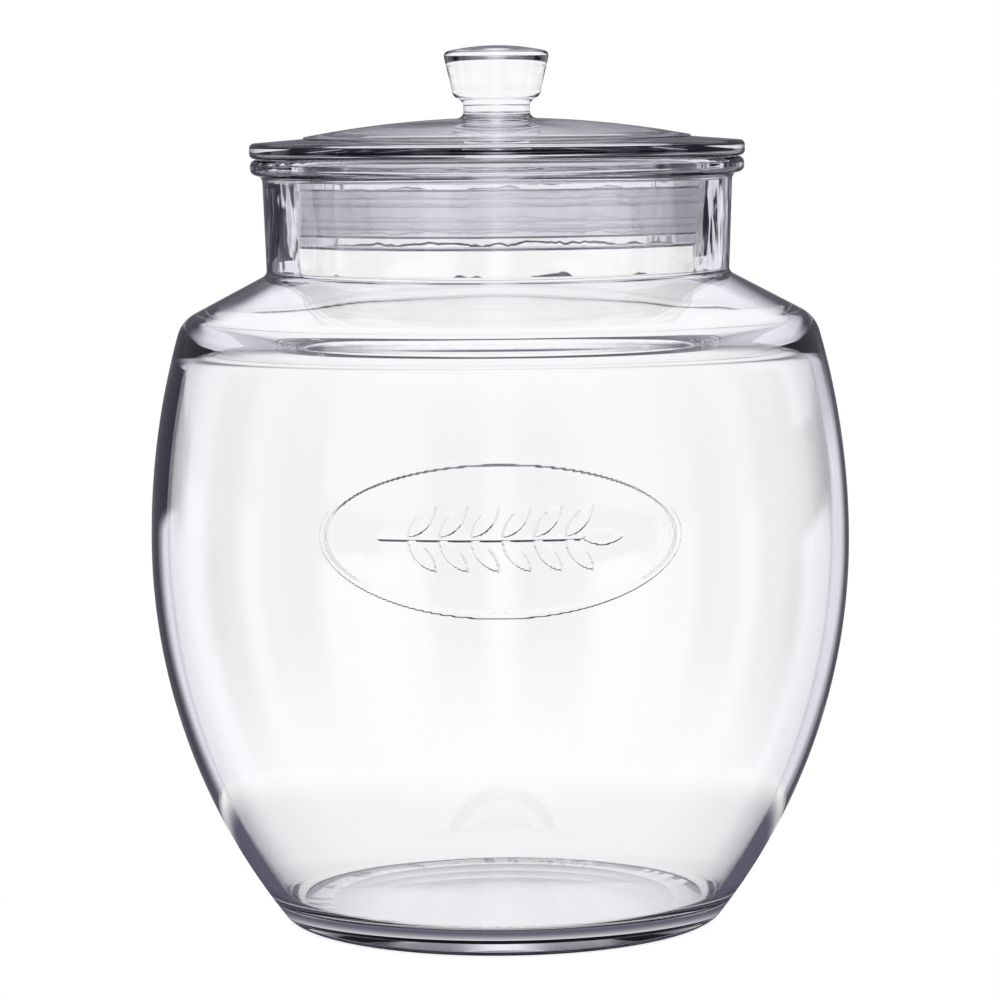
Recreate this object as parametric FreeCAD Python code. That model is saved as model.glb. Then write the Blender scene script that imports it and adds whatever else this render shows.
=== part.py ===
import FreeCAD, Part
import math
import os

# Round-bellied glass storage jar with a loose glass lid and a silicone sealing ring.
# Millimetres, +Z up. The origin is the centre of the foot, on the surface the jar stands on.
# Three pieces: jar (with a raised oval badge), lid (cap, collar and knob in one), seal.

# ---- jar: outside ----
WIDEST_RADIUS = 100.6       # belly
JAR_HEIGHT = 219.8          # foot to the top of the lip
BELLY_SHARE = 0.5           # share of that height at which the jar is widest
BASE_INSET = 38.3           # belly radius less the base's, before the heel is rounded
KNEE_INSET = 9.6            # belly radius less that of the knee under the shoulder
SHOULDER_RISE = 12.9        # knee to the root of the neck
NECK_WALL = 7.4             # glass in the neck, at its root
NECK_FLARE = 1.0            # how much wider the neck is at its top
NECK_LENGTH = 28.4          # root to the underside of the lip
LIP_OVERHANG = 3.4          # lip beyond the top of the neck
LIP_THICKNESS = 4.6
HEEL_ROUND = 5.0
KNEE_ROUND = 10.0
NECK_ROOT_ROUND = 2.2
LIP_ROUND = 1.9

# ---- jar: inside ----
SIDE_WALL = 4.2
SHOULDER_WALL = 4.6
BASE_WALL = 5.8             # glass over the foot ring
NECK_BORE = 59.0            # radius
INNER_KNEE_ROUND = 22.0
INNER_HEEL_ROUND = 16.0
BORE_END_ROUND = 3.6
BORE_MOUTH_ROUND = 1.6

# ---- jar: underside ----
FOOT_RING_WIDTH = 12.0      # flat ring under the base, before the heel is rounded
PUSH_UP = 0.4               # rise from the ring to the centre

# ---- badge on the belly ----
BADGE_WIDTH = 97.0
BADGE_HEIGHT = 43.0
BADGE_RISE = 10.5           # badge centre above the widest level
BADGE_RIB = 2.3             # width of the oval's raised line
BADGE_RELIEF = 0.8          # how far it stands off the glass
BADGE_ROOT = 1.0            # how far it is rooted in the wall
SPRIG_PAIRS = 6             # leaf pairs on the sprig
SPRIG_LENGTH = 66.0
SPRIG_STEM = 1.6
LEAF_LENGTH = 12.0
LEAF_WIDTH = 4.6
LEAF_ANGLE = 48.0           # leaf to stem, degrees

# ---- lid ----
LID_OVERHANG = 0.2          # flange beyond the lip
LID_SEAT_GAP = 0.15         # flange above the lip
FLANGE_EDGE = 4.4
FLANGE_ROUND = 1.5
FLANGE_SLOPE_RISE = 1.2     # flange top, edge to dome
DOME_INSET = 15.5           # flange radius less the dome's at its foot
DOME_STEP = 0.5
DOME_RISE = 5.2             # dome foot to its crown
LID_THICKNESS = 6.0         # through the dome
COLLAR_CLEARANCE = 1.5      # collar to neck bore, all round
COLLAR_LENGTH = 24.8
COLLAR_WALL = 6.0
COLLAR_TOP_ROUND = 2.0
COLLAR_END_ROUND = 1.2
LID_HOLLOW_ROUND = 8.0

# ---- knob ----
KNOB_WAIST_RADIUS = 9.5
KNOB_WAIST_LENGTH = 3.0
KNOB_FOOT_ROUND = 2.0
KNOB_STEP_RADIUS = 12.8
KNOB_STEP_LENGTH = 5.0      # S-shaped step, waist to cone
KNOB_TOP_RADIUS = 15.3
KNOB_CONE_LENGTH = 10.8
KNOB_CROWN = 1.9
KNOB_TOP_ROUND = 1.5

# ---- seal ----
SEAL_HEIGHT = 12.6
SEAL_DEPTH_IN_COLLAR = 1.4  # groove in the collar
SEAL_FROM_COLLAR_END = 3.7
SEAL_FIT = 0.1              # seal to collar groove and to neck bore
SEAL_RIBS = 2
SEAL_RIB_HEIGHT = 2.6
SEAL_BAND = 2.0             # thickness between ribs

# ---- worked out ----
BELLY_HEIGHT = JAR_HEIGHT * BELLY_SHARE
BASE_RADIUS = WIDEST_RADIUS - BASE_INSET
KNEE_RADIUS = WIDEST_RADIUS - KNEE_INSET
NECK_ROOT_RADIUS = NECK_BORE + NECK_WALL
NECK_TOP_RADIUS = NECK_ROOT_RADIUS + NECK_FLARE
LIP_RADIUS = NECK_TOP_RADIUS + LIP_OVERHANG
LIP_BOTTOM = JAR_HEIGHT - LIP_THICKNESS
NECK_ROOT_HEIGHT = LIP_BOTTOM - NECK_LENGTH
KNEE_HEIGHT = NECK_ROOT_HEIGHT - SHOULDER_RISE
SEAT_HEIGHT = JAR_HEIGHT + LID_SEAT_GAP
FLANGE_RADIUS = LIP_RADIUS + LID_OVERHANG
DOME_RADIUS_AT_FOOT = FLANGE_RADIUS - DOME_INSET
COLLAR_RADIUS = NECK_BORE - COLLAR_CLEARANCE
COLLAR_END = SEAT_HEIGHT - COLLAR_LENGTH
GROOVE_RADIUS = COLLAR_RADIUS - SEAL_DEPTH_IN_COLLAR
GROOVE_BOTTOM = COLLAR_END + SEAL_FROM_COLLAR_END
GROOVE_TOP = GROOVE_BOTTOM + SEAL_HEIGHT + 2 * SEAL_FIT
BADGE_CENTRE = BELLY_HEIGHT + BADGE_RISE


def at(radius, height):
    """A point of a section, in the half plane that is turned round the axis."""
    return FreeCAD.Vector(radius, 0, height)


def line(start, end):
    return Part.LineSegment(start, end).toShape()


def arc(start, end, centre):
    """The shorter arc between two points, round a centre at the same distance from both."""
    middle = (start + end) * 0.5 - centre
    middle = middle.normalize() * (start - centre).Length
    return Part.Arc(start, centre + middle, end).toShape()


def domed(start, end, rise):
    """An arc from the axis out to a rim that lies rise lower, level at the axis."""
    reach = end.x - start.x
    radius = (reach ** 2 + rise ** 2) / (2 * rise)
    return arc(start, end, at(start.x, start.z - radius))


def turned(edges):
    """A solid of revolution from a closed section."""
    face = Part.Face(Part.Wire(edges))
    return face.revolve(at(0, 0), FreeCAD.Vector(0, 0, 1), 360)


def rounded(solid, corners):
    """Round the circular edges that run through the given points of the section."""
    for point, radius in corners:
        edges = [edge for edge in solid.Edges
                 if not edge.Degenerated and isinstance(edge.Curve, Part.Circle)
                 and abs(edge.Curve.Radius - point.x) < 0.001
                 and abs(edge.Curve.Center.z - point.z) < 0.001]
        solid = solid.makeFillet(radius, edges)
    return solid


def belly_arc_radius(inset, height):
    """Radius of a side arc that is upright at the belly and drawn in by inset at its end."""
    return (inset ** 2 + height ** 2) / (2 * inset)


def line_meets_arc(start, step, centre, radius):
    """Where the line from start along the unit vector step first leaves the circle."""
    away = start - centre
    along = away.dot(step)
    reach = math.sqrt(along ** 2 - away.dot(away) + radius ** 2)
    return start + step * (reach - along)


def side_centres():
    lower = belly_arc_radius(BASE_INSET, BELLY_HEIGHT)
    upper = belly_arc_radius(KNEE_INSET, KNEE_HEIGHT - BELLY_HEIGHT)
    return (at(WIDEST_RADIUS - lower, BELLY_HEIGHT), lower,
            at(WIDEST_RADIUS - upper, BELLY_HEIGHT), upper)


def make_jar_glass():
    lower_centre, lower_radius, upper_centre, upper_radius = side_centres()

    push_up = at(0, PUSH_UP)
    ring_inside = at(BASE_RADIUS - FOOT_RING_WIDTH, 0)
    base_edge = at(BASE_RADIUS, 0)
    belly = at(WIDEST_RADIUS, BELLY_HEIGHT)
    knee = at(KNEE_RADIUS, KNEE_HEIGHT)
    neck_root = at(NECK_ROOT_RADIUS, NECK_ROOT_HEIGHT)
    neck_top = at(NECK_TOP_RADIUS, LIP_BOTTOM)
    lip_under = at(LIP_RADIUS, LIP_BOTTOM)
    lip_edge = at(LIP_RADIUS, JAR_HEIGHT)
    mouth = at(NECK_BORE, JAR_HEIGHT)

    # The inside of the shoulder is parallel to the outside, the inside of the belly concentric.
    down_shoulder = (knee - neck_root).normalize()
    inward = FreeCAD.Vector(down_shoulder.z, 0, -down_shoulder.x)
    on_inner_shoulder = neck_root + inward * SHOULDER_WALL
    to_bore = (NECK_BORE - on_inner_shoulder.x) / down_shoulder.x
    bore_end = on_inner_shoulder + down_shoulder * to_bore
    inner_knee = line_meets_arc(bore_end, down_shoulder, upper_centre, upper_radius - SIDE_WALL)
    inner_belly = at(WIDEST_RADIUS - SIDE_WALL, BELLY_HEIGHT)
    floor_centre = at(0, BASE_WALL)
    inner_heel = line_meets_arc(floor_centre, FreeCAD.Vector(1, 0, 0),
                                lower_centre, lower_radius - SIDE_WALL)

    glass = turned([
        domed(push_up, ring_inside, PUSH_UP),
        line(ring_inside, base_edge),
        arc(base_edge, belly, lower_centre),
        arc(belly, knee, upper_centre),
        line(knee, neck_root),
        line(neck_root, neck_top),
        line(neck_top, lip_under),
        line(lip_under, lip_edge),
        line(lip_edge, mouth),
        line(mouth, bore_end),
        line(bore_end, inner_knee),
        arc(inner_knee, inner_belly, upper_centre),
        arc(inner_belly, inner_heel, lower_centre),
        line(inner_heel, floor_centre),
        line(floor_centre, push_up),
    ])
    return rounded(glass, [
        (base_edge, HEEL_ROUND),
        (knee, KNEE_ROUND),
        (neck_root, NECK_ROOT_ROUND),
        (lip_under, LIP_ROUND),
        (lip_edge, LIP_ROUND),
        (mouth, BORE_MOUTH_ROUND),
        (bore_end, BORE_END_ROUND),
        (inner_knee, INNER_KNEE_ROUND),
        (inner_heel, INNER_HEEL_ROUND),
    ])


def belly_zone():
    """The skin that the badge is cut from: rooted in the wall and proud of it by the relief."""
    lower_centre, lower_radius, upper_centre, upper_radius = side_centres()
    low = BADGE_CENTRE - BADGE_HEIGHT
    high = min(BADGE_CENTRE + BADGE_HEIGHT, KNEE_HEIGHT)

    def skin(offset, height, centre, radius):
        reach = math.sqrt((radius + offset) ** 2 - (height - centre.z) ** 2)
        return at(centre.x + reach, height)

    outer_low = skin(BADGE_RELIEF, low, lower_centre, lower_radius)
    outer_high = skin(BADGE_RELIEF, high, upper_centre, upper_radius)
    inner_low = skin(-BADGE_ROOT, low, lower_centre, lower_radius)
    inner_high = skin(-BADGE_ROOT, high, upper_centre, upper_radius)
    outer_belly = at(WIDEST_RADIUS + BADGE_RELIEF, BELLY_HEIGHT)
    inner_belly = at(WIDEST_RADIUS - BADGE_ROOT, BELLY_HEIGHT)
    return turned([
        arc(outer_low, outer_belly, lower_centre),
        arc(outer_belly, outer_high, upper_centre),
        line(outer_high, inner_high),
        arc(inner_high, inner_belly, upper_centre),
        arc(inner_belly, inner_low, lower_centre),
        line(inner_low, outer_low),
    ])


def pressed_through(wire):
    """A flat outline in the XZ plane, carried from in front of the jar to its axis."""
    front = -(WIDEST_RADIUS + 2 * BADGE_RELIEF)
    face = Part.Face(wire)
    face.translate(FreeCAD.Vector(0, front, 0))
    return face.extrude(FreeCAD.Vector(0, -front, 0))


def oval(width, height):
    long_end = FreeCAD.Vector(width / 2, 0, BADGE_CENTRE)
    short_end = FreeCAD.Vector(0, 0, BADGE_CENTRE + height / 2)
    centre = FreeCAD.Vector(0, 0, BADGE_CENTRE)
    return Part.Wire(Part.Ellipse(long_end, short_end, centre).toShape())


def leaf(root, angle):
    """A pointed leaf of two arcs, from its root on the stem, at an angle above the stem."""
    along = FreeCAD.Vector(math.cos(angle), 0, math.sin(angle))
    across = FreeCAD.Vector(-along.z, 0, along.x)
    tip = root + along * LEAF_LENGTH
    middle = root + along * (LEAF_LENGTH / 2)
    upper = Part.Arc(root, middle + across * (LEAF_WIDTH / 2), tip).toShape()
    lower = Part.Arc(tip, middle - across * (LEAF_WIDTH / 2), root).toShape()
    return Part.Wire([upper, lower])


def sprig_outlines():
    """The flat outlines of a level sprig: a stem, leaf pairs along it and a leaf at its tip."""
    start = at(-SPRIG_LENGTH / 2, BADGE_CENTRE)
    stem_length = SPRIG_LENGTH - LEAF_LENGTH
    half = SPRIG_STEM / 2
    corners = [start + at(0, -half), start + at(stem_length, -half),
               start + at(stem_length, half), start + at(0, half)]
    outlines = [Part.makePolygon(corners + corners[:1])]
    for pair in range(SPRIG_PAIRS):
        root = start + at(stem_length * (pair + 1) / (SPRIG_PAIRS + 0.5), 0)
        for side in (1, -1):
            outlines.append(leaf(root, side * math.radians(LEAF_ANGLE)))
    outlines.append(leaf(start + at(stem_length - half, 0), 0))
    return outlines


def make_badge():
    ring = pressed_through(oval(BADGE_WIDTH, BADGE_HEIGHT)).cut(
        pressed_through(oval(BADGE_WIDTH - 2 * BADGE_RIB, BADGE_HEIGHT - 2 * BADGE_RIB)))
    shapes = [pressed_through(outline) for outline in sprig_outlines()]
    motif = ring.multiFuse(shapes)
    return motif.common(belly_zone())


def make_jar():
    jar = make_jar_glass().fuse(make_badge())
    return jar.removeSplitter()


def make_lid():
    flange_edge_top = SEAT_HEIGHT + FLANGE_EDGE
    flange_top = flange_edge_top + FLANGE_SLOPE_RISE
    dome_foot = flange_top + DOME_STEP
    crown = dome_foot + DOME_RISE
    dome_radius = (DOME_RADIUS_AT_FOOT ** 2 + DOME_RISE ** 2) / (2 * DOME_RISE)
    dome_centre = at(0, crown - dome_radius)
    hollow_radius = COLLAR_RADIUS - COLLAR_WALL
    inner_dome_radius = dome_radius - LID_THICKNESS

    def on_sphere(radius, sphere):
        return at(radius, dome_centre.z + math.sqrt(sphere ** 2 - radius ** 2))

    collar_top = at(COLLAR_RADIUS, SEAT_HEIGHT)
    flange_bottom = at(FLANGE_RADIUS, SEAT_HEIGHT)
    flange_edge = at(FLANGE_RADIUS, flange_edge_top)
    step_foot = at(DOME_RADIUS_AT_FOOT, flange_top)
    dome_edge = at(DOME_RADIUS_AT_FOOT, dome_foot)
    knob_foot = on_sphere(KNOB_WAIST_RADIUS, dome_radius)
    hollow_crown = at(0, crown - LID_THICKNESS)
    hollow_corner = on_sphere(hollow_radius, inner_dome_radius)
    hollow_mouth = at(hollow_radius, COLLAR_END)
    collar_foot = at(COLLAR_RADIUS, COLLAR_END)
    groove_corners = [at(COLLAR_RADIUS, GROOVE_BOTTOM), at(GROOVE_RADIUS, GROOVE_BOTTOM),
                      at(GROOVE_RADIUS, GROOVE_TOP), at(COLLAR_RADIUS, GROOVE_TOP)]

    waist_top = at(KNOB_WAIST_RADIUS, knob_foot.z + KNOB_WAIST_LENGTH)
    cone_foot = at(KNOB_STEP_RADIUS, waist_top.z + KNOB_STEP_LENGTH)
    cone_top = at(KNOB_TOP_RADIUS, cone_foot.z + KNOB_CONE_LENGTH)
    knob_crown = at(0, cone_top.z + KNOB_CROWN)
    step_curve = Part.BezierCurve()
    bend = KNOB_STEP_LENGTH / 2
    step_curve.setPoles([waist_top, waist_top + at(0, bend), cone_foot - at(0, bend), cone_foot])

    lid = turned([
        line(collar_foot, groove_corners[0]),
        line(groove_corners[0], groove_corners[1]),
        line(groove_corners[1], groove_corners[2]),
        line(groove_corners[2], groove_corners[3]),
        line(groove_corners[3], collar_top),
        line(collar_top, flange_bottom),
        line(flange_bottom, flange_edge),
        line(flange_edge, step_foot),
        line(step_foot, dome_edge),
        arc(dome_edge, knob_foot, dome_centre),
        line(knob_foot, waist_top),
        step_curve.toShape(),
        line(cone_foot, cone_top),
        domed(knob_crown, cone_top, KNOB_CROWN),
        line(knob_crown, hollow_crown),
        arc(hollow_crown, hollow_corner, dome_centre),
        line(hollow_corner, hollow_mouth),
        line(hollow_mouth, collar_foot),
    ])
    return rounded(lid, [
        (flange_bottom, FLANGE_ROUND),
        (flange_edge, FLANGE_ROUND),
        (dome_edge, DOME_STEP / 2),
        (collar_top, COLLAR_TOP_ROUND),
        (knob_foot, KNOB_FOOT_ROUND),
        (cone_top, KNOB_TOP_ROUND),
        (hollow_corner, LID_HOLLOW_ROUND),
        (hollow_mouth, COLLAR_END_ROUND),
        (collar_foot, COLLAR_END_ROUND),
    ])


def make_seal():
    """A ribbed band in the collar's groove; its rounded ribs reach almost to the bore."""
    inner = GROOVE_RADIUS + SEAL_FIT
    band = inner + SEAL_BAND
    outer = NECK_BORE - SEAL_FIT
    bottom = GROOVE_BOTTOM + SEAL_FIT
    top = bottom + SEAL_HEIGHT
    pitch = SEAL_HEIGHT / SEAL_RIBS
    margin = (pitch - SEAL_RIB_HEIGHT) / 2
    edges = []
    here = at(band, bottom)
    for rib in range(SEAL_RIBS):
        start = at(band, bottom + rib * pitch + margin)
        end = start + at(0, SEAL_RIB_HEIGHT)
        tip = at(outer, start.z + SEAL_RIB_HEIGHT / 2)
        edges += [line(here, start), Part.Arc(start, tip, end).toShape()]
        here = end
    corners = [here, at(band, top), at(inner, top), at(inner, bottom), at(band, bottom)]
    edges += [line(a, b) for a, b in zip(corners, corners[1:])]
    return turned(edges)


os.makedirs("parts", exist_ok=True)
for name, make in (("jar", make_jar), ("lid", make_lid), ("seal", make_seal)):
    shape = make()
    if len(shape.Solids) != 1 or not shape.isValid():
        raise RuntimeError(name + " is not one valid solid")
    solid = shape.Solids[0]
    solid.exportStep("parts/" + name + ".step")
    print(name, "volume", round(solid.Volume), "faces", len(solid.Faces), solid.BoundBox)
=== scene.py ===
import math

import bmesh
import bpy
import numpy as np
from bpy.props import FloatProperty, FloatVectorProperty, IntProperty, PointerProperty
from bpy.types import Operator, Panel, PropertyGroup
from mathutils import Euler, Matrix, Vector


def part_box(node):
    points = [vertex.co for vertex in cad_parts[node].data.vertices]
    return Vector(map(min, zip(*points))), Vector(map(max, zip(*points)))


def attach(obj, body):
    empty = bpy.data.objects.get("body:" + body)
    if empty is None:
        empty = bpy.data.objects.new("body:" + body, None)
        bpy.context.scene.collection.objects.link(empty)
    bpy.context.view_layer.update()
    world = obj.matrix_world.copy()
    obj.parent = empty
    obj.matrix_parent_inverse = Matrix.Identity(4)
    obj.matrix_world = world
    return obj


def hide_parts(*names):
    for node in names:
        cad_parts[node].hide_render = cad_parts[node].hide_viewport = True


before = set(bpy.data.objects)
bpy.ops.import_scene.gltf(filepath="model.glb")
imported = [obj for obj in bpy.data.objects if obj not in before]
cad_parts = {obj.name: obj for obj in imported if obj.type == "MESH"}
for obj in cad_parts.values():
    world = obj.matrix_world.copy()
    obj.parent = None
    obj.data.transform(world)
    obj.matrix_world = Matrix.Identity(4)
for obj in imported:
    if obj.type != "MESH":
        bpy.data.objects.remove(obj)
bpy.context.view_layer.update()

bl_info = {
    "name": "Glass storage jar",
    "version": (1, 0, 0),
    "blender": (4, 5, 0),
    "location": "3D View > Sidebar > Jar",
    "description": "Round-bellied clear glass storage jar with a loose glass lid "
                   "and a silicone seal",
    "category": "Mesh",
}

MM = 0.001
BODY = "root"
JAR_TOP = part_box("jar")[1]
SEAL_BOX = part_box("seal")
ARC_FLATNESS = 0.010 * MM       # how far a chord may leave a round side of a section
SAME_POINT = 0.0001 * MM        # points of a section that are closer count as one
FILLET_STEPS = 12               # steps that close in on a fillet's centre
WELD = 0.002 * MM               # points of a turned mesh that are closer are joined
JAR_STEP = 2.5                  # degrees between the jar's columns, away from the badge
LID_STEP = 1.8                  # degrees between the columns of the lid and the seal
BADGE_MARGIN = 2                # steps of close mesh past the badge on each side
NUDGE = 0.02 * MM               # distance over which the badge's slope is measured
FLOOR_SIDES = 96
WHITE = (1.0, 1.0, 1.0, 1.0)
THICK = 4                       # surfaces crossed by light that has been through two walls
LAYERED = 6                     # surfaces crossed by light that has been through three walls


# ---------------------------------------------------------------- sizes and colours

def length(name, description, millimetres):
    return FloatProperty(name=name, description=description, default=millimetres * MM,
                         min=0.0, unit="LENGTH", subtype="DISTANCE")


def colour(name, description, rgb):
    return FloatVectorProperty(name=name, description=description, default=rgb,
                               size=3, min=0.0, max=1.0, subtype="COLOR")


def angle(name, description, degrees):
    return FloatProperty(name=name, description=description, default=math.radians(degrees),
                         subtype="ANGLE", unit="ROTATION")


def share(name, description, value):
    return FloatProperty(name=name, description=description, default=value,
                         min=0.0, max=1.0, subtype="FACTOR")


def number(name, description, value):
    return FloatProperty(name=name, description=description, default=value, min=0.0)


class JarSizes(PropertyGroup):
    """Sizes of the jar's glass."""
    widest_radius: length("Belly radius", "Radius at the widest level", JAR_TOP.x / MM)
    height: length("Jar height", "Foot to the top of the lip", JAR_TOP.z / MM)
    belly_share: share("Belly share", "Share of the height at which the jar is widest", 0.5)
    base_inset: length("Base inset", "Belly radius less the base's", 38.3)
    knee_inset: length("Knee inset", "Belly radius less the knee's", 9.6)
    shoulder_rise: length("Shoulder rise", "Knee to the root of the neck", 12.9)
    neck_wall: length("Neck wall", "Glass in the neck at its root", 7.4)
    neck_flare: length("Neck flare", "How much wider the neck is at its top", 1.0)
    neck_length: length("Neck length", "Root to the underside of the lip", 28.4)
    lip_overhang: length("Lip overhang", "Lip beyond the top of the neck", 3.4)
    lip_thickness: length("Lip thickness", "Height of the lip's bead", 4.6)
    heel_round: length("Heel round", "Radius between foot and side", 5.0)
    knee_round: length("Knee round", "Radius between side and shoulder", 10.0)
    neck_root_round: length("Neck root round", "Radius between shoulder and neck", 2.2)
    lip_round: length("Lip round", "Radius of the lip's outer edges", 1.9)
    side_wall: length("Side wall", "Glass in the side", 4.2)
    shoulder_wall: length("Shoulder wall", "Glass in the shoulder", 4.6)
    base_wall: length("Base wall", "Glass over the foot ring", 5.8)
    neck_bore: length("Neck bore", "Inside radius of the neck", 59.0)
    inner_knee_round: length("Inner knee round", "Radius inside the knee", 22.0)
    inner_heel_round: length("Inner heel round", "Radius between floor and side", 16.0)
    bore_end_round: length("Bore end round", "Radius between bore and shoulder", 3.6)
    bore_mouth_round: length("Bore mouth round", "Radius of the lip's inner edge", 1.6)
    foot_ring_width: length("Foot ring width", "Flat ring that the jar stands on", 12.0)
    push_up: length("Push-up", "Rise from the ring to the centre", 0.4)


class BadgeSizes(PropertyGroup):
    """Sizes of the raised oval badge and its sprig."""
    width: length("Badge width", "Width of the oval", 97.0)
    height: length("Badge height", "Height of the oval", 43.0)
    rise: length("Badge rise", "Badge centre above the widest level", 10.5)
    rib: length("Rib width", "Width of the oval's raised line", 2.3)
    relief: length("Relief", "How far the badge stands off the glass", 0.8)
    edge: length("Edge width", "Width of the slope beside each raised line", 0.7)
    step: length("Mesh step", "Spacing of the mesh under the badge", 0.45)
    sprig_length: length("Sprig length", "Stem and end leaf together", 66.0)
    stem: length("Stem width", "Width of the sprig's stem", 1.6)
    leaf_length: length("Leaf length", "Root to tip", 12.0)
    leaf_width: length("Leaf width", "Across the middle", 4.6)
    leaf_angle: angle("Leaf angle", "Leaf to stem", 48.0)
    pairs: IntProperty(name="Leaf pairs", description="Leaf pairs on the sprig", default=6, min=0)


class LidSizes(PropertyGroup):
    """Sizes of the lid, its collar and its knob."""
    overhang: length("Lid overhang", "Flange beyond the lip", 0.2)
    seat_gap: length("Seat gap", "Flange above the lip", 0.15)
    flange_edge: length("Flange edge", "Thickness of the flange's edge", 4.4)
    flange_round: length("Flange round", "Radius of the flange's edges", 1.5)
    flange_rise: length("Flange rise", "Rise of the flange from edge to dome", 1.2)
    dome_inset: length("Dome inset", "Flange radius less the dome's at its foot", 15.5)
    dome_step: length("Dome step", "Step at the foot of the dome", 0.5)
    dome_rise: length("Dome rise", "Dome foot to its crown", 5.2)
    thickness: length("Lid thickness", "Glass through the dome", 6.0)
    collar_clearance: length("Collar clearance", "Collar to neck bore, all round", 1.5)
    collar_length: length("Collar length", "Flange to the collar's end", 24.8)
    collar_wall: length("Collar wall", "Glass in the collar", 6.0)
    collar_top_round: length("Collar top round", "Radius between collar and flange", 2.0)
    collar_end_round: length("Collar end round", "Radius of the collar's end", 1.2)
    hollow_round: length("Hollow round", "Radius at the top of the hollow", 8.0)
    groove_depth: length("Groove depth", "Seal groove in the collar", 1.4)
    groove_round: length("Groove round", "Radius of the groove's edges", 0.4)
    waist_radius: length("Knob waist radius", "Narrowest part of the knob", 9.5)
    waist_length: length("Knob waist length", "Straight part of the waist", 3.0)
    knob_foot_round: length("Knob foot round", "Radius between knob and dome", 2.0)
    knob_step_radius: length("Knob step radius", "Radius over the step", 12.8)
    knob_step_length: length("Knob step length", "Height of the S-shaped step", 5.0)
    knob_top_radius: length("Knob top radius", "Widest part of the knob", 15.3)
    knob_cone_length: length("Knob cone length", "Step to the widest part", 10.8)
    knob_crown: length("Knob crown", "Rise of the domed top", 1.9)
    knob_top_round: length("Knob top round", "Radius of the knob's top edge", 1.5)


class SealSizes(PropertyGroup):
    """Sizes of the silicone seal."""
    height: length("Seal height", "Height of the band", (SEAL_BOX[1].z - SEAL_BOX[0].z) / MM)
    from_collar_end: length("Seal offset", "Collar's end to the groove", 3.7)
    fit: length("Seal fit", "Gap to the collar and to the bore", 0.1)
    band: length("Band thickness", "Thickness between ribs", 2.0)
    rib_height: length("Rib height", "Height of one rib", 2.6)
    ribs: IntProperty(name="Ribs", description="Ribs round the band", default=2, min=0)
    edge_round: length("Edge round", "Radius of the band's edges", 0.3)


class Finishes(PropertyGroup):
    """Colours of glass, silicone and studio."""
    glass: colour("Glass", "Tint of the clear glass", (0.997, 0.997, 0.999))
    lid_glass: colour("Lid glass", "Tint of the lid's glass", (0.984, 0.979, 0.996))
    silicone: colour("Silicone", "Colour of the seal", (0.93, 0.91, 0.99))
    # Painted shade and a pale painted reflection tint, shown only by the glass.
    shade: colour("Studio shade", "What glass shows beside the lit backdrop", (0.012, 0.010, 0.028))
    painted_reflection_tint: colour("Studio haze", "Between the backdrop and its surroundings", (0.90, 0.88, 0.97))
    floor: colour("Floor", "Pale floor", (0.80, 0.80, 0.80))
    # Painted shade: a dark ring round the foot that only the glass's reflections show.
    floor_ring_shade: colour("Dim floor", "Ring of floor round the foot, in reflections",
                      (0.12, 0.11, 0.16))
    glass_index: number("Glass index", "Refractive index of the glass", 1.5)
    silicone_index: number("Silicone index", "Refractive index of the seal", 1.41)
    silicone_haze: share("Silicone haze", "Roughness of the seal", 0.18)
    silicone_clearness: share("Silicone clearness", "Share of light that enters the seal", 0.95)
    silicone_cover: share("Silicone cover", "Alpha of the seal", 0.45)


class Ripples(PropertyGroup):
    """The faint unevenness of pressed glass, and the seal's frosting."""
    jar_scale: number("Jar scale", "Noise scale of the jar's waves", 22.0)
    jar_depth: length("Jar depth", "Height of the jar's waves", 0.10)
    lid_scale: number("Lid scale", "Noise scale of the lid's waves", 30.0)
    lid_depth: length("Lid depth", "Height of the lid's waves", 0.08)
    detail: number("Wave detail", "Noise detail of the waves", 1.0)
    shoulder_gain: number("Shoulder gain", "What the waves gain above the knee", 2.0)
    blend: length("Blend", "Half the height over which they gain it", 3.0)
    streak_scale: number("Streak scale", "Noise scale of the neck's streaks", 75.0)
    streak_detail: number("Streak detail", "Noise detail of the streaks", 2.5)
    streak_squash: share("Streak squash", "Their noise scale upright, over that across", 0.3)
    streak_depth: length("Streak depth", "Height of the streaks", 0.65)
    frost_scale: number("Frost scale", "Noise scale of the seal's frosting", 900.0)
    frost_detail: number("Frost detail", "Noise detail of the frosting", 3.0)
    frost_strength: share("Frost strength", "Strength of the frosting", 0.5)
    frost_depth: length("Frost depth", "Height of the frosting", 0.10)


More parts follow.
